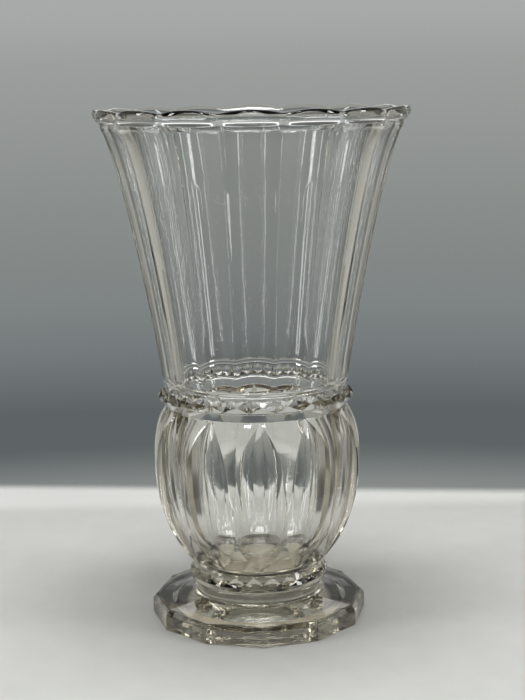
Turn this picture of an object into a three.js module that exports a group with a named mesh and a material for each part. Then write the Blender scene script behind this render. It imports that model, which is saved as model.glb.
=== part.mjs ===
// Pressed glass vase: a fluted, flaring bowl with a scalloped lip over a band of pyramids,
// a bulb of tall pointed lancets, a second ring of pyramids, a short stem and a twelve-sided foot.
// The glass is one pressing, so its sections stand on each other face to face and nothing moves.
// Millimetres, +Z up, origin at the centre of the underside of the foot, front towards -Y.

import * as THREE from "three";

// Foot: a twelve-sided plate with a bevelled upper edge, a top that rises gently to the stem
// and a shallow recess underneath
const foot_sides = 12;
const foot_corner_radius = 53.6;
const foot_side_height = 7.5;
const foot_bevel_width = 1.9;
const foot_bevel_height = 2.5;
const foot_crown_rise = 2.5;
const foot_rest_width = 9;
const foot_recess_slope = 3;
const foot_recess_depth = 1.5;

// Stem: a short round waist that flares a little where it meets the foot
const stem_radius = 31;
const stem_height = 7.5;
const stem_fillet = 1.2;

// Lower ring of pyramids, under the bulb
const ring_overhang = 3.1;
const ring_edge_height = 1.9;
const ring_edge_swell = 0.6;
const ring_facet_height = 5.7;
const ring_collar_height = 0.4;

// Upper band of pyramids, between the bulb and the bowl
const neck_height = 4.6;
const neck_cove_height = 3.9;
const neck_cove_reach = 0.5;
const band_overhang = 4;
const band_edge_height = 0.5;
const band_facet_height = 6.4;
const band_skirt_hollow = 0.5;
const band_bead_height = 2.5;
const band_bead_swell = 0.9;

// Both rings of pyramids
const pyramids_in_a_ring = 24;
const pyramid_peak_share = 0.4;
const pyramid_notch_depth = 2.6;

// Bulb: widest above its middle, cut with concave lancets. Each ends above in a pointed arch, and
// below its waist it closes again in a shorter point.
const bulb_lower_height = 51;
const bulb_upper_height = 28.5;
const bulb_seat_step = 1.2;
const bulb_swell = 7.1;
const lancet_count = 12;
const lancet_depth = 4;
const lancet_arch_width = 0.8;
const lancet_foot_width = 1.07;
const lancet_widest = 0.985;
const lancet_tip_width = 0.05;
const lancet_arch_sharpness = 7;
const lancet_waist_height = 25;
const lancet_foot_height = 3;
const lancet_foot_sharpness = 2.1;
const lancet_station_reach = 0.8;

// Bowl: sixteen concave flutes between narrow lands, whose outline is one curve. Its lower handle
// keeps the foot of the bowl upright, and its upper handle bends the rest out to the lip; both
// are placed by shares of the bowl's flare and height.
const throat_radius = 40;
const bowl_wall = 5.9;
const bowl_height = 122;
const bowl_flare = 27;
const bowl_lower_handle = { out: 0.05, up: 0.1 };
const bowl_upper_handle = { out: 0.66, up: 0.89 };
const flute_count = 16;
const flute_land = 0.06;
const flute_depth_at_throat = 0.6;
const flute_depth_at_lip = 2.6;

// Lip: a rounded bead with one lobe over each flute
const lip_height = 9;
const lip_overhang = 3.6;
const lip_lobe_reach = 1.9;
const lip_underside_inset = 0.6;
const lip_lobe_rise = 1.6;
const lip_edge_drop = 1.8;
const lip_crown_inset = 2.2;
const lip_inner_flare = 2.4;
const lip_inner_edge_height = 6.2;
const hood_width = 0.86;
const hood_flare = 1.5;
const hood_middle_height = 3.3;
const hood_half_height = 1.9;
const hood_swell = 1.6;

// Cavity: a smooth hollow that closes in a full round nose, as a withdrawn plunger leaves it. Its
// outline is half an ellipse at a fullness of 2, and squarer above that.
const cavity_floor_thickness = 2.5;
const cavity_fullness = 3.2;
const neck_wall = 4.5;

// Turn of each pattern about the axis, in degrees from the front
const flute_turn = 0;
const pyramid_turn = 4;
const lancet_turn = 2;
const foot_corner_turn = 2;

// Steps of the curved outlines
const bowl_steps = 10;
const bulb_steps = 16;
const cavity_steps = 7;
const fillet_steps = 3;
const stem_columns = 48;

// Sizes that follow from the ones above
const foot_edge_height = foot_side_height + foot_bevel_height;
const foot_height = foot_edge_height + foot_crown_rise;
const ring_height = ring_edge_height + ring_facet_height + ring_collar_height;
const bulb_height = bulb_lower_height + bulb_upper_height;
const band_height = neck_height + band_edge_height + band_facet_height + band_bead_height;
const bulb_seat_radius = stem_radius + bulb_seat_step;
const neck_radius = throat_radius + neck_wall;
const bulb_radius = neck_radius + bulb_swell;
const bowl_foot_radius = throat_radius + bowl_wall;
const bowl_lip_radius = bowl_foot_radius + bowl_flare;
const lip_radius = bowl_lip_radius + lip_overhang;
const lip_bore_radius = bowl_lip_radius - bowl_wall;

const clear_glass = { color: 0xdfe4e2, roughness: 0.06, metalness: 0, transparent: true, opacity: 0.45 };

const radians = THREE.MathUtils.degToRad;
const mix = THREE.MathUtils.lerp;

// A pattern repeats round the axis. Its stations are places across one repeat, from -1 to 1,
// and the middle of its first repeat, station 0, lies at the angle called turn.
function pattern(count, turn, stations) {
  const columns = [];
  for (let repeat = 0; repeat < count; repeat += 1) {
    for (const station of stations) {
      columns.push({ repeat, station });
    }
  }
  return { pitch: 360 / count, turn, columns };
}

// Each four-sided patch of a lathe form is two triangles. They are turned to meet along the shorter
// diagonal, so that both flanks of a notch or a ridge are folded alike.
function fold_alike({ index, attributes }) {
  const corner = (vertex) => new THREE.Vector3().fromBufferAttribute(attributes.position, vertex);
  for (let first = 0; first < index.count; first += 6) {
    const [a, b, d, c] = [0, 1, 2, 3].map((place) => index.getX(first + place));
    if (corner(a).distanceTo(corner(c)) < corner(b).distanceTo(corner(d))) {
      [a, b, c, a, c, d].forEach((vertex, place) => index.setX(first + place, vertex));
    }
  }
}

// One closed body: a lathe form whose every row gives the radius and the height at each station.
// A row may also move a station across its repeat, as the sides of an arch do.
function patterned_geometry(rows, { pitch, turn, columns }) {
  const outline = rows.map((row) => new THREE.Vector2(row(0).radius, row(0).height));
  const geometry = new THREE.LatheGeometry(outline, columns.length);
  const position = geometry.attributes.position;
  for (let index = 0; index < position.count; index += 1) {
    const { repeat, station } = columns[Math.floor(index / rows.length) % columns.length];
    const { radius, height, across = station } = rows[index % rows.length](station);
    const angle = radians(turn + (repeat + across / 2) * pitch);
    position.setXYZ(index, radius * Math.sin(angle), -radius * Math.cos(angle), height);
  }
  fold_alike(geometry);
  geometry.computeVertexNormals();
  return geometry;
}

// A row that is round and level, whatever the pattern.
function round(radius, height) {
  return () => ({ radius, height });
}

function glass_mesh(name, geometry) {
  const mesh = new THREE.Mesh(geometry, new THREE.MeshStandardMaterial({ ...clear_glass, name }));
  mesh.name = name;
  return mesh;
}

function foot_plate() {
  const pitch = 360 / foot_sides;
  const side = (corner_radius, height) => (station) => ({
    radius: (corner_radius * Math.cos(radians(pitch / 2))) / Math.cos(radians((pitch / 2) * station)),
    height,
  });
  const rest_radius = foot_corner_radius * Math.cos(radians(pitch / 2)) - foot_rest_width;
  const rows = [
    round(0, foot_recess_depth),
    round(rest_radius - foot_recess_slope, foot_recess_depth),
    round(rest_radius, 0),
    side(foot_corner_radius, 0),
    side(foot_corner_radius, foot_side_height),
    side(foot_corner_radius - foot_bevel_width, foot_edge_height),
    round(stem_radius + stem_fillet, foot_height),
    round(0, foot_height),
  ];
  const turn = foot_corner_turn + pitch / 2;
  const corner_to_corner = [-1, -0.5, 0, 0.5];
  return glass_mesh("foot_plate", patterned_geometry(rows, pattern(foot_sides, turn, corner_to_corner)));
}

function stem() {
  const outline = [new THREE.Vector2(0, 0)];
  for (let step = 0; step <= fillet_steps; step += 1) {
    const angle = (Math.PI / 2) * (step / fillet_steps);
    const radius = stem_radius + stem_fillet * (1 - Math.sin(angle));
    outline.push(new THREE.Vector2(radius, stem_fillet * (1 - Math.cos(angle))));
  }
  outline.push(new THREE.Vector2(stem_radius, stem_height));
  outline.push(new THREE.Vector2(0, stem_height));
  const geometry = new THREE.LatheGeometry(outline, stem_columns);
  geometry.rotateX(Math.PI / 2);
  return glass_mesh("stem", geometry);
}

// The three rows of a sloping skirt that is notched into pyramids: its lower and upper edges are
// round, and between them the peaks stand out while the notches are cut in. The hollow is how far
// the peaks lie behind a straight line from edge to edge.
function pyramid_rows(lower_radius, upper_radius, base, rise, hollow = 0) {
  const peak_radius = mix(lower_radius, upper_radius, pyramid_peak_share) - hollow;
  const peak_height = base + rise * pyramid_peak_share;
  const peaks = (station) => ({
    radius: peak_radius - pyramid_notch_depth * Math.abs(station),
    height: peak_height,
  });
  return [round(lower_radius, base), peaks, round(upper_radius, base + rise)];
}

function pyramid_pattern() {
  return pattern(pyramids_in_a_ring, pyramid_turn, [-1, 0]);
}

function lower_pyramid_ring() {
  const edge_radius = stem_radius + ring_overhang;
  const rows = [
    round(0, 0),
    round(edge_radius, 0),
    ...pyramid_rows(edge_radius + ring_edge_swell, bulb_seat_radius, ring_edge_height, ring_facet_height),
    round(bulb_seat_radius, ring_height),
    round(0, ring_height),
  ];
  return glass_mesh("lower_pyramid_ring", patterned_geometry(rows, pyramid_pattern()));
}

// Radius of the bulb's ridges at a height over its seat: an ellipse up to the widest place, and
// a flatter shoulder from there to the neck.
function bulb_outline(height) {
  if (height < bulb_lower_height) {
    const seat_share = bulb_seat_radius / bulb_radius;
    const fall = (bulb_lower_height - height) / bulb_lower_height;
    return bulb_radius * Math.sqrt(1 - fall ** 2 * (1 - seat_share ** 2));
  }
  const rise = (height - bulb_lower_height) / bulb_upper_height;
  return bulb_radius - bulb_swell * rise ** 3;
}

// Half width of a lancet as a share of its pitch, at a height over the bulb's seat.
function lancet_width(height) {
  const share = 1 - height / bulb_height;
  const arch = lancet_arch_width * (1 - (1 - share) ** lancet_arch_sharpness);
  const full = Math.min(lancet_widest, arch + (lancet_foot_width - lancet_arch_width) * share);
  const below_waist = (lancet_waist_height - height) / (lancet_waist_height - lancet_foot_height);
  const closed = THREE.MathUtils.clamp(below_waist, 0, 1) ** lancet_foot_sharpness;
  return Math.max(lancet_tip_width, full * (1 - closed));
}

// Station -1 is the middle of a spandrel, and the other stations run from edge to edge of a lancet.
function lancet_row(height) {
  const ridge_radius = bulb_outline(height);
  const width = lancet_width(height);
  const depth = lancet_depth * width * (ridge_radius / bulb_radius);
  return (station) => {
    if (station === -1) {
      return { radius: ridge_radius, height };
    }
    const across = station / lancet_station_reach;
    return { radius: ridge_radius - depth * (1 - across ** 2), height, across: across * width };
  };
}

// Rows of the hollow inside the bulb, from its mouth down to the middle of its floor.
function bulb_cavity_rows() {
  const depth = bulb_height - cavity_floor_thickness;
  const rows = [];
  for (let step = 0; step < cavity_steps; step += 1) {
    const angle = (Math.PI / 2) * (step / cavity_steps);
    const out = Math.cos(angle) ** (2 / cavity_fullness);
    const down = Math.sin(angle) ** (2 / cavity_fullness);
    rows.push(round(throat_radius * out, bulb_height - depth * down));
  }
  rows.push(round(0, cavity_floor_thickness));
  return rows;
}

function bulb() {
  const rows = [round(0, 0)];
  for (let step = 0; step <= bulb_steps; step += 1) {
    rows.push(lancet_row((bulb_height * step) / bulb_steps));
  }
  rows.push(...bulb_cavity_rows());
  const stations = [-1];
  for (let part = -2; part <= 2; part += 1) {
    stations.push((lancet_station_reach * part) / 2);
  }
  return glass_mesh("bulb", patterned_geometry(rows, pattern(lancet_count, lancet_turn, stations)));
}

function upper_pyramid_band() {
  const edge_radius = neck_radius + band_overhang;
  const edge_base = neck_height + band_edge_height;
  const bead_base = edge_base + band_facet_height;
  const facet_top_radius = bowl_foot_radius - band_bead_swell;
  const rows = [
    round(neck_radius, 0),
    round(neck_radius + neck_cove_reach, neck_cove_height),
    round(edge_radius, neck_height),
    ...pyramid_rows(edge_radius, facet_top_radius, edge_base, band_facet_height, band_skirt_hollow),
    round(bowl_foot_radius, bead_base + band_bead_height / 2),
    round(bowl_foot_radius, band_height),
    round(throat_radius, band_height),
    round(throat_radius, 0),
    round(neck_radius, 0),
  ];
  return glass_mesh("upper_pyramid_band", patterned_geometry(rows, pyramid_pattern()));
}

// Outline of the lands between the flutes, nearly straight and then flaring towards the lip.
function bowl_outline() {
  const at = ({ out, up }) => new THREE.Vector2(bowl_foot_radius + bowl_flare * out, bowl_height * up);
  const foot = { out: 0, up: 0 };
  const top = { out: 1, up: 1 };
  return new THREE.CubicBezierCurve(at(foot), at(bowl_lower_handle), at(bowl_upper_handle), at(top));
}

function flute_row(land_radius, height, depth) {
  const edge = 1 - flute_land;
  return (station) => ({ radius: land_radius - depth * (1 - (station / edge) ** 2), height });
}

function flute_pattern() {
  const edge = 1 - flute_land;
  return pattern(flute_count, flute_turn, [-edge, -edge / 2, 0, edge / 2, edge]);
}

function fluted_bowl() {
  const outline = bowl_outline().getPoints(bowl_steps);
  const outer = outline.map((point, step) => {
    const depth = mix(flute_depth_at_throat, flute_depth_at_lip, step / bowl_steps);
    return flute_row(point.x, point.y, depth);
  });
  const inner = outline.map((point) => round(point.x - bowl_wall, point.y));
  const rows = [...outer, ...inner.reverse(), outer[0]];
  return glass_mesh("fluted_bowl", patterned_geometry(rows, flute_pattern()));
}

// The lip overhangs each flute as a hood with an elliptical edge, and rises over it as a lobe.
// Beside the hoods it flares out plainly.
function scalloped_lip() {
  const edge = 1 - flute_land;
  const lobe = (station) => 1 - (station / edge) ** 2;
  const hood = (station) => Math.sqrt(Math.max(0, 1 - (station / hood_width) ** 2));
  const flare = (station) => hood_flare * (1 - hood(station));
  const reach = (station) => lip_radius - lip_lobe_reach * (1 - lobe(station));
  const fall = (station) => lip_lobe_rise * (1 - lobe(station));
  const flute = flute_row(bowl_lip_radius, 0, flute_depth_at_lip);
  const underside = (station) => reach(station) - lip_underside_inset;
  const rows = [
    flute,
    (station) => ({
      radius: flute(station).radius,
      height: hood_middle_height - hood_half_height * hood(station) - flare(station),
    }),
    (station) => ({
      radius: (flute(station).radius + underside(station)) / 2 + hood_swell * hood(station),
      height: hood_middle_height,
    }),
    (station) => ({
      radius: underside(station),
      height: hood_middle_height + hood_half_height * hood(station) + flare(station) / 2,
    }),
    (station) => ({ radius: reach(station), height: lip_height - lip_edge_drop - fall(station) }),
    (station) => ({ radius: reach(station) - lip_crown_inset, height: lip_height - fall(station) }),
    round(lip_bore_radius + lip_inner_flare, lip_inner_edge_height),
    round(lip_bore_radius, 0),
    flute,
  ];
  return glass_mesh("scalloped_lip", patterned_geometry(rows, flute_pattern()));
}

// The sections are stacked from the foot up. Each height is rounded to single precision, as the
// meshes are, so two sections that touch share exactly one level.
const vase = new THREE.Group();
vase.name = "pressed_glass_vase";
const stack = [
  [foot_plate(), foot_height],
  [stem(), stem_height],
  [lower_pyramid_ring(), ring_height],
  [bulb(), bulb_height],
  [upper_pyramid_band(), band_height],
  [fluted_bowl(), bowl_height],
  [scalloped_lip(), lip_height],
];
let level = 0;
for (const [section, height] of stack) {
  section.position.z = level;
  vase.add(section);
  level += Math.fround(height);
}

export default vase;
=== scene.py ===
# %% [markdown]
# A pressed glass vase
#
# The real vase is one piece of clear glass: molten glass was dropped into a patterned mould and a
# smooth plunger was pressed into it, so the outside carries the pattern and the inside is plain.
# The measured model splits it into seven named sections. Here they are dressed as the single
# piece of glass that they stand for, because light must run through it without a break.

# %% The measured model
import math

import bmesh
import bpy
from mathutils import Matrix, Vector


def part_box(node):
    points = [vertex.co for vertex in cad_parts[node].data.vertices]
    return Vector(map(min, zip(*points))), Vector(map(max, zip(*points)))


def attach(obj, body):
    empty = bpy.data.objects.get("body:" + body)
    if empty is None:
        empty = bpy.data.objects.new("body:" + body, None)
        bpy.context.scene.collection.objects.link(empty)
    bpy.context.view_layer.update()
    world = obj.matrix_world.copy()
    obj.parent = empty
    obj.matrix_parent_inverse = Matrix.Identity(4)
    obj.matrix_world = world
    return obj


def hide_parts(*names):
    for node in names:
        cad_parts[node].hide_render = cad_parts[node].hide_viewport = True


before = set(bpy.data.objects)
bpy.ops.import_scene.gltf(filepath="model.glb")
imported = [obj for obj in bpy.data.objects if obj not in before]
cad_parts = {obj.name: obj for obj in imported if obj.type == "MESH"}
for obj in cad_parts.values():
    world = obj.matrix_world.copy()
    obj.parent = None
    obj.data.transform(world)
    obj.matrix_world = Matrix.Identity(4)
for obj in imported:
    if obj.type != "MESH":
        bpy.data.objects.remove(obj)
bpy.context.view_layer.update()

METRES = 0.001

# %% [markdown]
# Every length below is in millimetres and becomes metres once, when the mesh is made. The levels
# where one section stands on the next are read from the measured model, and so is its reach.

# %% Levels and reach of the sections
def base_of(node):
    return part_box(node)[0].z / METRES


def top_of(node):
    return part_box(node)[1].z / METRES


def reach_of(node):
    """Largest distance of a section from the axis."""
    return max(math.hypot(v.co.x, v.co.y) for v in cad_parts[node].data.vertices) / METRES


for node in sorted(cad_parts, key=base_of):
    print(f"{node}: {base_of(node):.2f} to {top_of(node):.2f} mm, reach {reach_of(node):.2f} mm")

# %% [markdown]
# The camera stands as the photographer's did: about 0.7 m in front, a little above the rim,
# tipped down by ten degrees, and turned by less than a degree. A plain perspective camera with a
# long lens repeats that; its place was worked out from the ellipses of the rim and the foot.

# %% Camera
CAMERA_PLACE = (3.64, -702.5, 262.6)
CAMERA_PITCH = 10.38
CAMERA_ROLL = 0.84
FOCAL_PIXELS = 1447.8
PICTURE_HEIGHT = 700
SENSOR_WIDTH = 36.0

camera_data = bpy.data.cameras.new("camera")
camera_data.sensor_width = SENSOR_WIDTH
camera_data.lens = FOCAL_PIXELS * SENSOR_WIDTH / PICTURE_HEIGHT
camera = bpy.data.objects.new("camera", camera_data)
bpy.context.scene.collection.objects.link(camera)
tip = Matrix.Rotation(math.radians(90 - CAMERA_PITCH), 4, "X")
roll = Matrix.Rotation(math.radians(-CAMERA_ROLL), 4, "Z")
camera.matrix_world = Matrix.Translation([c * METRES for c in CAMERA_PLACE]) @ tip @ roll
bpy.context.scene.camera = camera
bpy.context.scene.view_settings.view_transform = "Standard"
print("lens:", round(camera_data.lens, 2), "mm")

# %% [markdown]
# Colours are written as the hex values that a picture shows, and turned to linear light by one
# function. Nodes are added by one small function too, with their settings and links.

# %% Helpers for colours and nodes
def linear(hex_colour):
    channels = [int(hex_colour[place:place + 2], 16) / 255 for place in (1, 3, 5)]
    return [c / 12.92 if c <= 0.04045 else ((c + 0.055) / 1.055) ** 2.4 for c in channels] + [1.0]


def add_node(tree, kind, settings=None, **inputs):
    """A node with its settings, its socket values, and links from the sockets that are given."""
    node = tree.nodes.new(kind)
    for name, value in (settings or {}).items():
        setattr(node, name, value)
    for name, value in inputs.items():
        key = name.replace("_", " ")
        socket = node.inputs[int(key[1:])] if key[1:].isdigit() else node.inputs[key]
        if isinstance(value, bpy.types.NodeSocket):
            tree.links.new(value, socket)
        else:
            socket.default_value = value
    return node


def new_material(name):
    material = bpy.data.materials.new(name)
    material.use_nodes = True
    material.node_tree.nodes.clear()
    return material


def fill_ramp(node, stops):
    """Sets a colour ramp's stops from (place, hex colour)."""
    elements = node.color_ramp.elements
    while len(elements) > 1:
        elements.remove(elements[-1])
    for index, (place, colour) in enumerate(stops):
        element = elements[0] if index == 0 else elements.new(place)
        element.position = place
        element.color = linear(colour)


def per_metre(length):
    """Scale of a noise whose features are about this many millimetres long."""
    return 1 / (length * METRES)


print("mid grey #808080 is", round(linear("#808080")[0], 3), "in linear light")

# %% [markdown]
# Clear glass has hardly a colour of its own. It shows what is behind and around it, bent and
# folded, so the surroundings are half of its look: a soft grey sweep behind it that is darkest just
# above the board and lighter again low down, light walls to the left and the right, a dark room in
# front and a dim one overhead. All of that is the world itself. It is coloured by how far a ray
# points above or below the horizon, once for the sweep, once for the sides and once for the front,
# and the three blend by how far the ray points away from straight behind.

# %% Colours of the sweep, the sides and the front
# Each stop is (degrees above the horizon, colour).
SWEEP = [
    (-90.0, "#55544f"),
    (-45.0, "#84837d"),
    (-28.0, "#a4a49e"),
    (-18.0, "#989994"),
    (-15.6, "#868a89"),
    (-14.2, "#5e6465"),
    (-12.6, "#5e6465"),
    (-10.4, "#74797b"),
    (-8.4, "#7f8484"),
    (-4.5, "#8a8e8c"),
    (0.9, "#9c9f9d"),
    (2.6, "#a6a9a8"),
    (7.0, "#b2b4b2"),
    (14.0, "#858684"),
    (24.0, "#70706e"),
    (40.0, "#6c6c6a"),
    (60.0, "#5c5c5a"),
    (90.0, "#5c5c5a"),
]
SIDES = [
    (-90.0, "#504f49"),
    (-26.0, "#84837c"),
    (-20.0, "#a6a59e"),
    (-15.0, "#b9b8b1"),
    (-8.0, "#c9c8c2"),
    (4.0, "#dcdbd6"),
    (16.0, "#a8a7a2"),
    (30.0, "#7c7b74"),
    (90.0, "#5c5c5a"),
]
FRONT = [
    (-90.0, "#2a2925"),
    (24.0, "#2e2d29"),
    (44.0, "#7c7c7a"),
    (90.0, "#5c5c5a"),
]
# Degrees away from straight behind between which one ramp goes over into the next.
SWEEP_TO_SIDES = (28.0, 44.0)
SIDES_TO_FRONT = (66.0, 92.0)
print("stops behind, beside and in front:", len(SWEEP), len(SIDES), len(FRONT))

# %% [markdown]
# A world has no places, only directions. The Z of a direction is the sine of its height above the
# horizon, so the ramps run over that sine, and its X and Y give the turn away from straight behind.

# %% The world
def height_share(degrees):
    """Place of an elevation on a ramp that runs from straight down to straight up."""
    return (math.sin(math.radians(degrees)) + 1) / 2


world = bpy.data.worlds.new("sweep_and_room")
bpy.context.scene.world = world
world.use_nodes = True
tree = world.node_tree
tree.nodes.clear()
direction = add_node(tree, "ShaderNodeTexCoord")
parts = add_node(tree, "ShaderNodeSeparateXYZ", Vector=direction.outputs["Generated"])
share = add_node(tree, "ShaderNodeMapRange", Value=parts.outputs["Z"], From_Min=-1.0, From_Max=1.0)
aside = add_node(tree, "ShaderNodeMath", {"operation": "ABSOLUTE"}, _0=parts.outputs["X"])
turn = add_node(tree, "ShaderNodeMath", {"operation": "ARCTAN2"}, _0=aside.outputs[0], _1=parts.outputs["Y"])
colours = []
for stops in (SWEEP, SIDES, FRONT):
    ramp = add_node(tree, "ShaderNodeValToRGB", Fac=share.outputs["Result"])
    fill_ramp(ramp, [(height_share(degrees), colour) for degrees, colour in stops])
    colours.append(ramp.outputs["Color"])
around = colours[0]
for colour, (starts, ends) in ((colours[1], SWEEP_TO_SIDES), (colours[2], SIDES_TO_FRONT)):
    blend = add_node(
        tree,
        "ShaderNodeMapRange",
        {"interpolation_type": "SMOOTHSTEP"},
        Value=turn.outputs[0],
        From_Min=math.radians(starts),
        From_Max=math.radians(ends),
    )
    joined = add_node(tree, "ShaderNodeMixRGB", Fac=blend.outputs["Result"], Color1=around, Color2=colour)
    around = joined.outputs["Color"]
sky = add_node(tree, "ShaderNodeBackground", Color=around, Strength=1.0)
add_node(tree, "ShaderNodeOutputWorld", Surface=sky.outputs["Background"])
print("world:", world.name, "with", len(tree.nodes), "nodes")

# %% [markdown]
# The vase stands on a pale board, and the board lies on a dark table top. Glass shows the dark
# table in its steep side faces, where light is thrown sideways, and that gives it its dark lines.
# Board and table lie a hair below the glass and below each other, because two faces in one plane
# would quarrel.

# %% Board and table
BOARD_BACK = 232.0
BOARD_FRONT = 150.0
BOARD_SIDE = 150.0
BOARD_FADE = 20.0
BOARD_DROP = 0.15
BACK_SKEW = 4.7
SIDE_WIDENING = 10.1
TABLE_DROP = 1.5
TABLE_REACH = 520.0


def flat_stage(name, reach, back, drop, material):
    """A level face under the vase, at drop below it, square but for its back edge."""
    mesh = bpy.data.meshes.new(name)
    corners = [(-reach, -reach), (reach, -reach), (reach, back), (-reach, back)]
    mesh.from_pydata([(x * METRES, y * METRES, -drop * METRES) for x, y in corners], [], [(0, 1, 2, 3)])
    mesh.materials.append(material)
    face = bpy.data.objects.new(name, mesh)
    bpy.context.scene.collection.objects.link(face)
    print(name, "reaches", reach, "mm to the sides and", back, "mm to the back")


# %% [markdown]
# The table top is oiled wood. The oil darkens it and leaves a dull sheen, and the grain is drawn as
# faint streaks. Light bleaches such wood, so it is paler further out, where nothing stands on it.

# %% Dark oiled wood
STREAK_LENGTH = 250.0
STREAK_WIDTH = 16.67
WOOD_TONES = ("#43423d", "#4b4a45")
BLEACHED_WOOD = "#908f89"
BLEACHED_FROM = (225.0, 310.0)
# Noise hardly leaves this span of its 0 to 1.
NOISE_SPAN = (0.3, 0.7)

oiled_wood = new_material("dark oiled wood")
tree = oiled_wood.node_tree
place = add_node(tree, "ShaderNodeTexCoord")
along, across = per_metre(STREAK_LENGTH), per_metre(STREAK_WIDTH)
streaks = add_node(
    tree, "ShaderNodeMapping", Vector=place.outputs["Object"], Scale=(along, across, along)
)
grain = add_node(tree, "ShaderNodeTexNoise", Vector=streaks.outputs[0], Scale=1.0, Detail=4.0)
tone = add_node(tree, "ShaderNodeValToRGB", Fac=grain.outputs["Fac"])
fill_ramp(tone, zip(NOISE_SPAN, WOOD_TONES))
away = add_node(tree, "ShaderNodeVectorMath", {"operation": "LENGTH"}, _0=place.outputs["Object"])
bleached = add_node(
    tree,
    "ShaderNodeMapRange",
    {"interpolation_type": "SMOOTHSTEP"},
    Value=away.outputs["Value"],
    From_Min=BLEACHED_FROM[0] * METRES,
    From_Max=BLEACHED_FROM[1] * METRES,
)
pale = add_node(
    tree,
    "ShaderNodeMixRGB",
    Fac=bleached.outputs["Result"],
    Color1=tone.outputs["Color"],
    Color2=linear(BLEACHED_WOOD),
)
wood = add_node(tree, "ShaderNodeBsdfPrincipled", Base_Color=pale.outputs["Color"], Roughness=0.6)
add_node(tree, "ShaderNodeOutputMaterial", Surface=wood.outputs[0])
flat_stage("dark_table", TABLE_REACH, BOARD_BACK - BOARD_FADE, TABLE_DROP, oiled_wood)

# %% [markdown]
# The board's edges fade out over two centimetres, as edges out of focus do. Each edge is a straight
# line with a heading and a distance from the vase, and the nearest one decides the fade. The back
# edge is turned a little, as it is in the photo, and the sides widen towards the back.

# %% Outline of the board
matt_paint = new_material("matt painted board")
tree = matt_paint.node_tree
place = add_node(tree, "ShaderNodeTexCoord")
axes = add_node(tree, "ShaderNodeSeparateXYZ", Vector=place.outputs["Object"])
inward = None
for heading, offset in (
    (BACK_SKEW, BOARD_BACK),
    (90 + SIDE_WIDENING, BOARD_SIDE),
    (-90 - SIDE_WIDENING, BOARD_SIDE),
    (180, BOARD_FRONT),
):
    outward = (math.sin(math.radians(heading)), math.cos(math.radians(heading)), 0.0)
    reach = add_node(
        tree, "ShaderNodeVectorMath", {"operation": "DOT_PRODUCT"}, _0=place.outputs["Object"], _1=outward
    )
    left = add_node(
        tree, "ShaderNodeMath", {"operation": "SUBTRACT"}, _0=offset * METRES, _1=reach.outputs["Value"]
    )
    if inward:
        left = add_node(tree, "ShaderNodeMath", {"operation": "MINIMUM"}, _0=inward, _1=left.outputs[0])
    inward = left.outputs[0]
solid = add_node(
    tree,
    "ShaderNodeMapRange",
    {"interpolation_type": "SMOOTHSTEP"},
    Value=inward,
    From_Max=BOARD_FADE * METRES,
)

# %% [markdown]
# Matt paint scatters light evenly, and a roller leaves it a little mottled. Light is painted on along the
# board's far edge, which is paler. Thick glass shades the board under its rim and gathers light under its
# middle.
# A renderer that follows light back from the camera hardly finds gathered light, so both are
# painted on the board, inside the foot's outline only: a ring that is dark at the back and the
# sides, and a pale, warm middle and front.

# %% Matt paint
MOTTLE_SIZE = 16.67
PAINT_TONES = ("#bdbeba", "#c1c2be")
# Painted light: the board is paler along its far edge, between these two distances.
PAINTED_LIGHT_EDGE = "#d4d5d2"
PAINTED_LIGHT_EDGE_FROM = (172.0, 200.0)
LIT_MIDDLE = "#e4e0d6"
LIT_FRONT = "#fff4de"
SHADE_BEHIND = "#181612"
MIDDLE_TO_RING = (32.0, 36.0)
RING_TO_BOARD = (48.0, 52.0)
FRONT_TO_BEHIND = (-24.0, -6.0)

mottle = add_node(
    tree, "ShaderNodeTexNoise", Vector=place.outputs["Object"], Scale=per_metre(MOTTLE_SIZE), Detail=3.0
)
tone = add_node(tree, "ShaderNodeValToRGB", Fac=mottle.outputs["Fac"])
fill_ramp(tone, zip(NOISE_SPAN, PAINT_TONES))
away = add_node(tree, "ShaderNodeVectorMath", {"operation": "LENGTH"}, _0=place.outputs["Object"])
fades = []
for value, (start, end) in (
    (axes.outputs["Y"], PAINTED_LIGHT_EDGE_FROM),
    (axes.outputs["Y"], FRONT_TO_BEHIND),
    (away.outputs["Value"], MIDDLE_TO_RING),
    (away.outputs["Value"], RING_TO_BOARD),
):
    fade = add_node(
        tree,
        "ShaderNodeMapRange",
        {"interpolation_type": "SMOOTHSTEP"},
        Value=value,
        From_Min=start * METRES,
        From_Max=end * METRES,
    )
    fades.append(fade.outputs["Result"])
# The painted light along the far edge is mixed in here.
board_with_painted_light = add_node(
    tree, "ShaderNodeMixRGB", Fac=fades[0], Color1=tone.outputs["Color"], Color2=linear(PAINTED_LIGHT_EDGE)
)
ring = add_node(
    tree, "ShaderNodeMixRGB", Fac=fades[1], Color1=linear(LIT_FRONT), Color2=linear(SHADE_BEHIND)
)
below_foot = add_node(
    tree, "ShaderNodeMixRGB", Fac=fades[2], Color1=linear(LIT_MIDDLE), Color2=ring.outputs["Color"]
)
paint = add_node(
    tree,
    "ShaderNodeMixRGB",
    Fac=fades[3],
    Color1=below_foot.outputs["Color"],
    Color2=board_with_painted_light.outputs["Color"],
)
board = add_node(tree, "ShaderNodeBsdfPrincipled", Base_Color=paint.outputs["Color"], Roughness=0.7)
clear = add_node(tree, "ShaderNodeBsdfTransparent")
edge = add_node(
    tree, "ShaderNodeMixShader", _0=solid.outputs["Result"], _1=clear.outputs[0], _2=board.outputs[0]
)
add_node(tree, "ShaderNodeOutputMaterial", Surface=edge.outputs[0])
flat_stage("pale_board", BOARD_BACK + BOARD_FADE, BOARD_BACK + BOARD_FADE, BOARD_DROP, matt_paint)

# %% [markdown]
# A large box overhead lights the board and gives a soft shadow. Tall boxes at both sides draw the
# bright lines along the ridges, two small ones in front give the sparks at the tips of the arches,
# and a dim one far behind lights the hoods under the lip.

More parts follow.
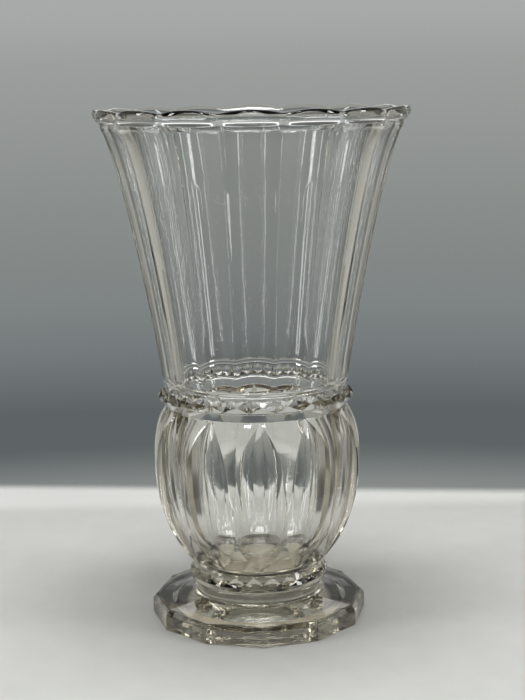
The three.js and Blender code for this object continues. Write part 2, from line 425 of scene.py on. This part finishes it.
# %% Soft boxes
def soft_box(name, place, target, width, height, watts):
    light = bpy.data.lights.new(name, "AREA")
    light.shape = "RECTANGLE"
    light.size = width * METRES
    light.size_y = height * METRES
    light.energy = watts
    lamp = bpy.data.objects.new(name, light)
    bpy.context.scene.collection.objects.link(lamp)
    lamp.location = Vector(place) * METRES
    aim = Vector(target) - Vector(place)
    lamp.rotation_euler = aim.to_track_quat("-Z", "Y").to_euler()


soft_box("top_box", place=(0, -60, 1150), target=(0, 0, 100), width=460, height=340, watts=10.0)
for name, side in (("front_left_box", -170), ("front_right_box", 130)):
    soft_box(name, place=(side, -640, 980), target=(0, 0, 60), width=120, height=120, watts=0.7)
for name, side in (("left_box", -1000), ("right_box", 1000)):
    soft_box(name, place=(side, -350, 500), target=(0, 0, 130), width=160, height=700, watts=4.4)
soft_box("back_box", place=(0, 950, 560), target=(0, 0, 60), width=460, height=150, watts=0.28)

# %% [markdown]
# The glass is laid up in rings, from the middle of its underside out to the foot, up the patterned
# outside, over the lip and down the plain inside to the floor of the hollow. A ring is a list of
# (angle, radius, height). A pattern repeats round the axis; its stations are places across one
# repeat, from -1 to 1, and they lie closer where the surface turns sharply.

# %% Rings and outlines
# A corner is never cut farther than this share of the way to the next one.
FARTHEST_CUT = 0.45


def mix(start, end, share):
    return start + (end - start) * share


def evenly(start, end, steps):
    return [mix(start, end, step / steps) for step in range(steps + 1)]


def lay_round(outline, stations, count, turn, spread=None):
    """One ring for each point of outline(station), with the stations repeated count times."""
    pitch = 360 / count
    outlines = [outline(station) for station in stations]
    rings = []
    for row in range(len(outlines[0])):
        ring = []
        for repeat in range(count):
            for station, points in zip(stations, outlines):
                radius, height = points[row]
                across = spread(station, height) if spread else station
                ring.append((turn + (repeat + across / 2) * pitch, radius, height))
        rings.append(ring)
    return rings


def rounded(corners, steps=3):
    """An outline through (radius, height, cut) corners, each turned by a curve that starts and
    ends cut millimetres away from it."""
    points = []
    for index, (radius, height, cut) in enumerate(corners):
        if not cut:
            points.append((radius, height))
            continue
        ends = []
        for near in (corners[index - 1], corners[index + 1]):
            away = math.hypot(near[0] - radius, near[1] - height)
            share = min(FARTHEST_CUT, cut / away) if away else 0
            ends.append((mix(radius, near[0], share), mix(height, near[1], share)))
        for share in evenly(0, 1, steps):
            before = [mix(ends[0][k], (radius, height)[k], share) for k in (0, 1)]
            after = [mix((radius, height)[k], ends[1][k], share) for k in (0, 1)]
            points.append((mix(before[0], after[0], share), mix(before[1], after[1], share)))
    return points


# %% [markdown]
# The foot is a twelve-sided plate. Its lower edge, its upper edge and its corners are softened a
# little, as pressed glass is after its rim has been warmed in the fire. Its top rises gently and
# turns up into the round stem, and a shallow recess leaves a standing ring below.

# %% Foot
FOOT_SIDES = 12
FOOT_TURN = 2.0
FOOT_SIDE_HEIGHT = 7.5
FOOT_BEVEL_WIDTH = 1.9
FOOT_BEVEL_HEIGHT = 2.5
FOOT_REST_WIDTH = 9.0
FOOT_RECESS_SLOPE = 3.0
FOOT_RECESS_DEPTH = 1.5
STEM_RADIUS = 31.0
STEM_FILLET = 2.6
foot_reach = reach_of("foot_plate")
foot_top = top_of("foot_plate")
ring_base = base_of("lower_pyramid_ring")
half_side = 180 / FOOT_SIDES


def foot_side(corner, station):
    return corner * math.cos(math.radians(half_side)) / math.cos(math.radians(half_side * station))


def foot_outline(station):
    rest = foot_reach * math.cos(math.radians(half_side)) - FOOT_REST_WIDTH
    edge = foot_side(foot_reach, station)
    shoulder = foot_side(foot_reach - FOOT_BEVEL_WIDTH, station)
    shoulder_height = FOOT_SIDE_HEIGHT + FOOT_BEVEL_HEIGHT
    return rounded([
        (0.0, FOOT_RECESS_DEPTH, 0),
        (rest - FOOT_RECESS_SLOPE, FOOT_RECESS_DEPTH, 1.0),
        (rest, 0.0, 0.3),
        (edge, 0.0, 0.7),
        (edge, FOOT_SIDE_HEIGHT, 0.7),
        (shoulder, shoulder_height, 0.9),
        (STEM_RADIUS, foot_top, STEM_FILLET),
        (STEM_RADIUS, mix(foot_top, ring_base, 0.5), 0),
    ], 4)


foot_stations = [-1, -0.97, -0.9, -0.75, -0.5, -0.25, 0, 0.25, 0.5, 0.75, 0.9, 0.97]
rings = lay_round(foot_outline, foot_stations, FOOT_SIDES, FOOT_TURN + half_side)
print("foot rings:", len(rings), "of", len(rings[0]), "points")

# %% [markdown]
# Both collars are sloping skirts with 24 notches, each a V with a diamond outline. Between two
# diamonds the skirt is left as a triangle that points down and one that points up, and they meet
# in a small peak. The rows of the mesh follow the diamonds' edges, which keeps the edges crisp.
# Here and further up, each section's outline stops a tenth or two of a millimetre short of the
# next one's, so that no two rings fall together.

# %% Notched skirts
NOTCH_COUNT = 24
NOTCH_TURN = 4.0
NOTCH_DEPTH = 2.6
EDGE_CUT = 0.1
NOTCH_ROWS = [0.0, EDGE_CUT, 0.5, 1 - EDGE_CUT]


def notched(skirt, low, peak, high):
    """Outline points of a skirt between two heights. skirt gives its radius at a height, the
    peaks lie at the height peak, and a notch has its middle at station -1 or 1."""
    def outline(station):
        side = abs(station)
        lower, upper = mix(peak, low, side), mix(peak, high, side)
        points = [mix(low, lower, row) for row in NOTCH_ROWS]
        points += [mix(lower, peak, row) for row in NOTCH_ROWS]
        points += [mix(peak, upper, row) for row in NOTCH_ROWS]
        points += [mix(upper, high, row) for row in NOTCH_ROWS + [1.0]]
        result = []
        for height in points:
            limit = low if height < peak else high
            share = (height - limit) / (peak - limit)
            depth = NOTCH_DEPTH * max(0.0, share - (1 - side))
            result.append((skirt(height) - depth, height))
        return result
    return outline


def along_line(points):
    """Radius at a height on straight lines through (radius, height) points."""
    def radius(height):
        for (r0, h0), (r1, h1) in zip(points, points[1:]):
            if height <= h1 or (r1, h1) == points[-1]:
                return mix(r0, r1, min(1.0, max(0.0, (height - h0) / (h1 - h0))))
    return radius


COLLAR_EDGE_RADIUS = 34.6
COLLAR_TOP_RADIUS = 32.3
COLLAR_EDGE_RISE = 2.4
COLLAR_PEAK_RISE = 4.2
COLLAR_TOP_DROP = 0.3

notch_stations = [-1, -0.96, -0.8, -0.5, -0.2, -0.05, 0, 0.05, 0.2, 0.5, 0.8, 0.96]
bulb_base = base_of("bulb")
collar_points = [
    (COLLAR_EDGE_RADIUS, ring_base + COLLAR_EDGE_RISE),
    (COLLAR_TOP_RADIUS, bulb_base - COLLAR_TOP_DROP),
]
collar_skirt = notched(
    along_line(collar_points), collar_points[0][1], ring_base + COLLAR_PEAK_RISE, collar_points[1][1]
)


def collar_outline(station):
    lower = rounded([
        (STEM_RADIUS, mix(foot_top, ring_base, 0.55), 0),
        (STEM_RADIUS, ring_base + 0.1, 0.7),
        (COLLAR_EDGE_RADIUS - 0.5, ring_base + 0.1, 0.5),
        (COLLAR_EDGE_RADIUS, ring_base + COLLAR_EDGE_RISE - 0.2, 0),
    ])
    return lower + collar_skirt(station) + [(COLLAR_TOP_RADIUS - 0.5, bulb_base - 0.15)]


rings += lay_round(collar_outline, notch_stations, NOTCH_COUNT, NOTCH_TURN)
print("rings up to the lower collar:", len(rings))

# %% [markdown]
# The bulb is cut with twelve tall lancets: shallow hollows that end in pointed arches. Near its
# foot they almost touch, and only sharp ridges are left between them. A lancet's width and depth
# follow from its height, and the stations are spread across it.

# %% Bulb
LANCET_COUNT = 12
LANCET_TURN = 2.0
LANCET_DEPTH = 4.0
LANCET_ARCH_WIDTH = 0.8
LANCET_FOOT_WIDTH = 1.07
LANCET_WIDEST = 0.985
LANCET_NARROWEST = 0.004
LANCET_SHARPNESS = 7.0
LANCET_WAIST = 25.0
LANCET_FOOT_HEIGHT = 3.0
LANCET_FOOT_SHARPNESS = 2.1
LANCET_REACH = 0.8
BULB_WIDEST = 51.0
BULB_SEAT_RADIUS = 32.3
NECK_RADIUS = 44.5
bulb_top = top_of("bulb")
bulb_height = bulb_top - bulb_base
bulb_radius = reach_of("bulb")


def bulb_ridge(height):
    rise = height - bulb_base
    if rise < BULB_WIDEST:
        fall = (BULB_WIDEST - rise) / BULB_WIDEST
        return bulb_radius * math.sqrt(1 - fall ** 2 * (1 - (BULB_SEAT_RADIUS / bulb_radius) ** 2))
    share = (rise - BULB_WIDEST) / (bulb_height - BULB_WIDEST)
    return mix(bulb_radius, NECK_RADIUS, share ** 3)


def lancet_width(height):
    """Half width of a lancet as a share of its pitch. It closes at the top in a pointed arch, and
    below its waist in a shorter one."""
    share = min(1.0, (bulb_top - height) / bulb_height)
    arch = LANCET_ARCH_WIDTH * (1 - (1 - share) ** LANCET_SHARPNESS)
    width = min(LANCET_WIDEST, arch + (LANCET_FOOT_WIDTH - LANCET_ARCH_WIDTH) * share)
    rise = height - bulb_base
    if rise < LANCET_WAIST:
        fall = (LANCET_WAIST - rise) / (LANCET_WAIST - LANCET_FOOT_HEIGHT)
        width *= 1 - min(1.0, fall) ** LANCET_FOOT_SHARPNESS
    return max(LANCET_NARROWEST, width)


def lancet_spread(station, height):
    side, width = abs(station), lancet_width(height)
    if side <= LANCET_REACH:
        return station / LANCET_REACH * width
    return math.copysign(mix(width, 1.0, (side - LANCET_REACH) / (1 - LANCET_REACH)), station)


def bulb_outline(station):
    points = []
    for height in bulb_heights:
        ridge, width = bulb_ridge(height), lancet_width(height)
        across = abs(station) / LANCET_REACH
        depth = LANCET_DEPTH * width * ridge / bulb_radius
        drop = depth * (1 - across ** 2) if across < 1 else 0.0
        points.append((ridge - drop, height))
    return points


# The rows lie closer at both ends, where the lancets close.
bulb_heights = evenly(bulb_base + 0.25, bulb_base + 2.6, 3)
bulb_heights += evenly(bulb_base + 3.05, bulb_base + 14, 16)
bulb_heights += evenly(bulb_base + 15.2, bulb_top - 14, 28)
bulb_heights += evenly(bulb_top - 13.2, bulb_top - 0.2, 24)
lancet_stations = [LANCET_REACH * s for s in (-1, -0.965, -0.9, -0.8, -0.65, -0.5, -0.33, -0.16)]
lancet_stations += [0.0] + [-s for s in reversed(lancet_stations)]
lancet_stations = [-1, -0.93, -0.86, -0.82] + lancet_stations + [0.82, 0.86, 0.93]
rings += lay_round(bulb_outline, lancet_stations, LANCET_COUNT, LANCET_TURN, lancet_spread)
print("rings up to the neck:", len(rings), "with", len(rings[-1]), "points round the bulb")

# %% [markdown]
# Above the neck a second collar hangs out over the bulb with a sharp lower edge, and a small
# rounded bead closes it towards the bowl.

# %% Upper collar
band_base = base_of("upper_pyramid_band")
bowl_base = base_of("fluted_bowl")
BOWL_FOOT_RADIUS = 45.9
BAND_EDGE_RADIUS = 48.5
BAND_PEAK_RADIUS = 46.6
BAND_TOP_RADIUS = 45.1
BAND_EDGE_RISE = 5.1
BAND_PEAK_RISE = 7.6
BAND_TOP_RISE = 11.4
BEAD_RADIUS = 46.0
BEAD_RISE = 12.1
band_points = [
    (BAND_EDGE_RADIUS, band_base + BAND_EDGE_RISE),
    (BAND_PEAK_RADIUS, band_base + BAND_PEAK_RISE),
    (BAND_TOP_RADIUS, band_base + BAND_TOP_RISE - 1.6),
    (BAND_TOP_RADIUS, band_base + BAND_TOP_RISE),
]
band_skirt = notched(along_line(band_points), band_points[0][1], band_points[1][1], band_points[3][1])


def band_outline(station):
    lower = rounded([
        (NECK_RADIUS, band_base + 0.1, 0),
        (NECK_RADIUS + 0.5, band_base + BAND_EDGE_RISE - 1.2, 0.5),
        (BAND_EDGE_RADIUS, band_base + BAND_EDGE_RISE - 0.6, 0.35),
        (BAND_EDGE_RADIUS, band_base + BAND_EDGE_RISE - 0.1, 0),
    ])
    upper = rounded([
        (BAND_TOP_RADIUS, band_base + BAND_TOP_RISE + 0.1, 0),
        (BEAD_RADIUS, band_base + BEAD_RISE, 0.5),
        (BEAD_RADIUS, bowl_base - 0.3, 0.4),
        (BOWL_FOOT_RADIUS - 0.2, bowl_base + 0.1, 0),
    ])
    return lower + band_skirt(station) + upper


rings += lay_round(band_outline, notch_stations, NOTCH_COUNT, NOTCH_TURN)
print("rings up to the bowl:", len(rings))

# %% [markdown]
# The bowl flares in one long curve and has sixteen shallow flutes. The narrow lands between them
# are what draws the bright upright lines. The flutes deepen towards the lip.

# %% Fluted bowl
FLUTE_COUNT = 16
FLUTE_LAND = 0.06
FLUTE_DEPTH_LOW = 0.6
FLUTE_DEPTH_HIGH = 2.6
FLUTE_SOFTNESS = 0.08
BOWL_FLARE = 27.0
BOWL_WALL = 5.9
BOWL_ROWS = 44
BOWL_CURVE = [(0.0, 0.0), (0.05, 0.1), (0.66, 0.89), (1.0, 1.0)]
lip_base = base_of("scalloped_lip")
bowl_height = lip_base - bowl_base
flute_edge = 1 - FLUTE_LAND


def bezier(points, share):
    weights = [(1 - share) ** 3, 3 * share * (1 - share) ** 2, 3 * share ** 2 * (1 - share), share ** 3]
    return [sum(w * p[k] for w, p in zip(weights, points)) for k in (0, 1)]


def land_line(share):
    """Radius and height of the lands at a share of the bowl's curve."""
    out, up = bezier(BOWL_CURVE, share)
    return BOWL_FOOT_RADIUS + BOWL_FLARE * out, bowl_base + bowl_height * up


def flute_drop(station, share):
    across = abs(station) / flute_edge
    if across > 1:
        return 0.0
    depth = mix(FLUTE_DEPTH_LOW, FLUTE_DEPTH_HIGH, share)
    return max(depth * (1 - across ** 2), FLUTE_SOFTNESS * share if across == 1 else 0.0)


def bowl_outline(station):
    points = []
    for share in evenly(0.01, 1, BOWL_ROWS):
        radius, height = land_line(share)
        points.append((radius - flute_drop(station, share), height))
    return points


flute_stations = [flute_edge * s for s in (-1, -0.96, -0.91, -0.88, -0.8, -0.65, -0.5, -0.33, -0.16)]
flute_stations += [0.0] + [-s for s in reversed(flute_stations)]
flute_stations = [-1, -0.97] + flute_stations + [0.97]
rings += lay_round(bowl_outline, flute_stations, FLUTE_COUNT, 0.0)
print("rings up to the lip:", len(rings), "with", len(rings[-1]), "points round the bowl")

# %% [markdown]
# The lip swells out over each flute as a small hood, which ends the flute in half an ellipse, and
# rises over it as a lobe. A hood is narrower than its flute, and beside it the glass flares out in
# a curve. The edge was melted round in the fire.

# %% Scalloped lip
LIP_LOBE_REACH = 1.9
LIP_LOBE_RISE = 1.6
LIP_INNER_FLARE = 2.4
LIP_INNER_EDGE = 6.2
HOOD_WIDTH = 0.86
HOOD_FLARE = 1.5
HOOD_MIDDLE = 3.3
HOOD_HALF = 1.9
HOOD_SWELL = 1.6
lip_reach = reach_of("scalloped_lip")
lip_height = top_of("scalloped_lip") - lip_base
land_top = land_line(1)[0]
bore_top = land_top - BOWL_WALL


def lip_outline(station):
    lobe = 1 - min(1.0, abs(station) / flute_edge) ** 2
    hood = math.sqrt(max(0.0, 1 - (station / HOOD_WIDTH) ** 2))
    flare = HOOD_FLARE * (1 - hood)
    reach = lip_reach - LIP_LOBE_REACH * (1 - lobe)
    crest = lip_base + lip_height - LIP_LOBE_RISE * (1 - lobe)
    flute = land_top - flute_drop(station, 1)
    middle = lip_base + HOOD_MIDDLE
    under = middle - HOOD_HALF * hood
    over = middle + HOOD_HALF * hood
    bulge = mix(flute, reach, 0.5) + HOOD_SWELL * hood
    return rounded([
        (flute, mix(lip_base, under - flare, 0.4), 0),
        (flute, under - flare, 0.4),
        (bulge, mix(under, over, 0.45), 1.5),
        (reach - 0.4, over + flare * 0.6, 0.5),
        (reach, mix(over, crest, 0.5), 0.6),
        (reach - 0.5, crest - 0.4, 1.0),
        (mix(reach, bore_top, 0.45), crest, 1.6),
        (bore_top + LIP_INNER_FLARE, lip_base + LIP_INNER_EDGE, 1.6),
        (bore_top, lip_base, 0),
    ])


rings += lay_round(lip_outline, flute_stations, FLUTE_COUNT, 0.0)
print("rings up to the mouth:", len(rings))

# %% [markdown]
# The plunger leaves the inside plain and smooth: it follows the bowl's curve at an even wall. In the
# bulb the hollow is as full as the outside. Its outline is a superellipse, an ellipse whose power is
# above 2, so the wall stays even nearly down to a flat floor close above the lower collar.

# %% The smooth inside
INSIDE_COLUMNS = 240
THROAT_RADIUS = 40.0
FLOOR_THICKNESS = 2.5
HOLLOW_FULLNESS = 3.2
INSIDE_ROWS = 36
HOLLOW_ROWS = 28


def inside_outline(_station):
    points = []
    for share in reversed(evenly(0, 0.98, INSIDE_ROWS)):
        radius, height = land_line(share)
        points.append((radius - BOWL_WALL, height))
    depth = bulb_top - bulb_base - FLOOR_THICKNESS
    points.append((THROAT_RADIUS, mix(bowl_base, bulb_top, 0.5)))
    for angle in evenly(0, 90, HOLLOW_ROWS):
        turn = math.radians(angle)
        out = max(0.0, math.cos(turn)) ** (2 / HOLLOW_FULLNESS)
        down = math.sin(turn) ** (2 / HOLLOW_FULLNESS)
        points.append((THROAT_RADIUS * out, bulb_top - depth * down))
    return points


rings += lay_round(inside_outline, [0], INSIDE_COLUMNS, 0.0)
print("all rings:", len(rings))

# %% [markdown]
# Neighbouring rings are joined by a skin. Where both have the same number of points it is made of
# four-sided faces, and where a pattern changes it is zipped up with triangles: the zip starts at
# the nearest points and steps on along whichever ring lags behind.

# %% The skin between two rings
def join_rings(faces, low, low_start, high, high_start):
    """Adds the faces between two rings of points, whose first points have these numbers."""
    low_count, high_count = len(low), len(high)
    first = low[0][0]
    if low_count == high_count and abs(first - high[0][0]) < 1e-6:
        for k in range(low_count):
            after = (k + 1) % low_count
            faces.append((low_start + k, low_start + after, high_start + after, high_start + k))
        return
    shift = min(range(high_count), key=lambda k: abs((high[k][0] - first + 180) % 360 - 180))
    lows = [point[0] for point in low] + [first + 360]
    highs = [first + (high[shift][0] - first + 180) % 360 - 180]
    for k in range(shift, shift + high_count):
        highs.append(highs[-1] + (high[(k + 1) % high_count][0] - high[k % high_count][0]) % 360)
    i = j = 0
    while i < low_count or j < high_count:
        here = low_start + i % low_count
        there = high_start + (shift + j) % high_count
        if j >= high_count or (i < low_count and lows[i + 1] <= highs[j + 1]):
            faces.append((here, low_start + (i + 1) % low_count, there))
            i += 1
        else:
            faces.append((here, high_start + (shift + j + 1) % high_count, there))
            j += 1


# %% [markdown]
# Points that fall together, at the tips of diamonds and on the axis, are merged. What is left has to
# be a closed body, because the glass fills it: each edge belongs to just two faces.

# %% The mesh
MERGE_DISTANCE = 0.002

points, faces, starts = [], [], []
for ring in rings:
    starts.append(len(points))
    for angle, radius, height in ring:
        turn = math.radians(angle)
        points.append([c * METRES for c in (radius * math.sin(turn), -radius * math.cos(turn), height)])
for k in range(len(rings) - 1):
    join_rings(faces, rings[k], starts[k], rings[k + 1], starts[k + 1])

vase_mesh = bpy.data.meshes.new("clear_glass_vase")
vase_mesh.from_pydata(points, [], faces)
shape = bmesh.new()
shape.from_mesh(vase_mesh)
bmesh.ops.remove_doubles(shape, verts=shape.verts, dist=MERGE_DISTANCE * METRES)
bmesh.ops.dissolve_degenerate(shape, edges=shape.edges, dist=MERGE_DISTANCE * METRES)
open_edges = [edge for edge in shape.edges if len(edge.link_faces) != 2]
print("open edges:", len(open_edges), "volume in cm3:", round(shape.calc_volume() * 1e6, 1))

# %% [markdown]
# Fire-polished glass is smooth, so all faces are shaded smooth and only an edge where the surface
# turns sharply stays crisp. The notched skirts have flat facets that meet at small angles, so their
# edges are kept from a smaller angle on. Weighted normals keep large facets flat.

# %% Crisp edges
CRISP_ANGLE = 24.0
FACET_ANGLE = 7.0
HAIR = 0.01


def on_skirt(vert):
    """Whether a point lies on one of the two notched skirts, and not on the smooth inside."""
    height = vert.co.z / METRES
    if collar_points[0][1] - HAIR <= height <= collar_points[-1][1] + HAIR:
        return True
    outside = math.hypot(vert.co.x, vert.co.y) / METRES > THROAT_RADIUS + 1
    return outside and band_points[0][1] - HAIR <= height <= band_points[-1][1] + HAIR


for face in shape.faces:
    face.smooth = True
for edge in shape.edges:
    limit = FACET_ANGLE if all(on_skirt(vert) for vert in edge.verts) else CRISP_ANGLE
    edge.smooth = edge.calc_face_angle(0.0) < math.radians(limit)
print("crisp edges:", sum(not edge.smooth for edge in shape.edges))
shape.to_mesh(vase_mesh)
shape.free()
vase_mesh.update()
vase = bpy.data.objects.new("clear_glass_vase", vase_mesh)
bpy.context.scene.collection.objects.link(vase)
even = vase.modifiers.new("even_normals", "WEIGHTED_NORMAL")
even.keep_sharp = True
vase_mesh.calc_loop_triangles()
print("vase:", len(vase_mesh.vertices), "points,", len(vase_mesh.loop_triangles), "triangles")

# %% [markdown]
# Pressed soda-lime glass, fire-polished: clear and colourless, with a trace of warm grey where it
# is thick. The plunger drags faint upright waves into it, so the noise is stretched upwards, and
# what is seen through the glass wavers a little. The foot met the cold mould first and keeps fine
# chill marks on its lowest millimetres. The fire leaves next to no roughness, so its lights and
# lines stay sharp.

# %% Pressed soda-lime glass
WAVE_LENGTH, WAVE_HEIGHT = 22.0, 0.015
RIPPLE_LENGTH, RIPPLE_HEIGHT = 5.0, 0.003
CHILL_LENGTH, CHILL_DEPTH = 2.4, 0.05
CHILL_FADE = (8.0, 3.0)
DRAW = 0.05
ROUGHEST = 0.006
SODA_LIME_IOR = 1.52
HAZE_PER_METRE = 42.0

glass = new_material("pressed soda-lime glass, fire-polished")
tree = glass.node_tree
place = add_node(tree, "ShaderNodeTexCoord")
upright = add_node(tree, "ShaderNodeMapping", Vector=place.outputs["Object"], Scale=(1.0, 1.0, DRAW))
noises = []
for length, detail, where in (
    (WAVE_LENGTH, 1.0, upright.outputs[0]),
    (RIPPLE_LENGTH, 2.0, upright.outputs[0]),
    (CHILL_LENGTH, 2.0, place.outputs["Object"]),
):
    noise = add_node(tree, "ShaderNodeTexNoise", Vector=where, Scale=per_metre(length), Detail=detail)
    noises.append(noise.outputs["Fac"])
broad, fine, chill = noises
axes = add_node(tree, "ShaderNodeSeparateXYZ", Vector=place.outputs["Object"])
low_down = add_node(
    tree,
    "ShaderNodeMapRange",
    Value=axes.outputs["Z"],
    From_Min=CHILL_FADE[0] * METRES,
    From_Max=CHILL_FADE[1] * METRES,
)
waves = add_node(tree, "ShaderNodeBump", Height=broad, Strength=1.0, Distance=WAVE_HEIGHT * METRES)
ripples = add_node(
    tree,
    "ShaderNodeBump",
    Height=fine,
    Strength=1.0,
    Distance=RIPPLE_HEIGHT * METRES,
    Normal=waves.outputs["Normal"],
)
chills = add_node(
    tree,
    "ShaderNodeBump",
    Height=chill,
    Strength=low_down.outputs["Result"],
    Distance=CHILL_DEPTH * METRES,
    Normal=ripples.outputs["Normal"],
)
sheen = add_node(tree, "ShaderNodeMapRange", Value=fine, To_Min=0.0, To_Max=ROUGHEST)
body = add_node(
    tree,
    "ShaderNodeBsdfPrincipled",
    Base_Color=linear("#fdfefe"),
    Roughness=sheen.outputs["Result"],
    IOR=SODA_LIME_IOR,
    Transmission_Weight=1.0,
    Normal=chills.outputs["Normal"],
)
thick = add_node(tree, "ShaderNodeVolumeAbsorption", Color=linear("#f0eee8"), Density=HAZE_PER_METRE)
add_node(tree, "ShaderNodeOutputMaterial", Surface=body.outputs[0], Volume=thick.outputs[0])
vase_mesh.materials.append(glass)
print("glass:", glass.name, "with an IOR of", SODA_LIME_IOR)
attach(vase, "root")
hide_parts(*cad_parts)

# %% [markdown]
# Light crosses four faces or more on its way through the vase and is thrown back inside its thick
# parts, so it is followed for more turns than usual. With too few, thick glass goes black.

# %% Light paths
cycles = bpy.context.scene.cycles
cycles.max_bounces = 24
cycles.transmission_bounces = 24
cycles.glossy_bounces = 8
print("turns followed through glass:", cycles.transmission_bounces)
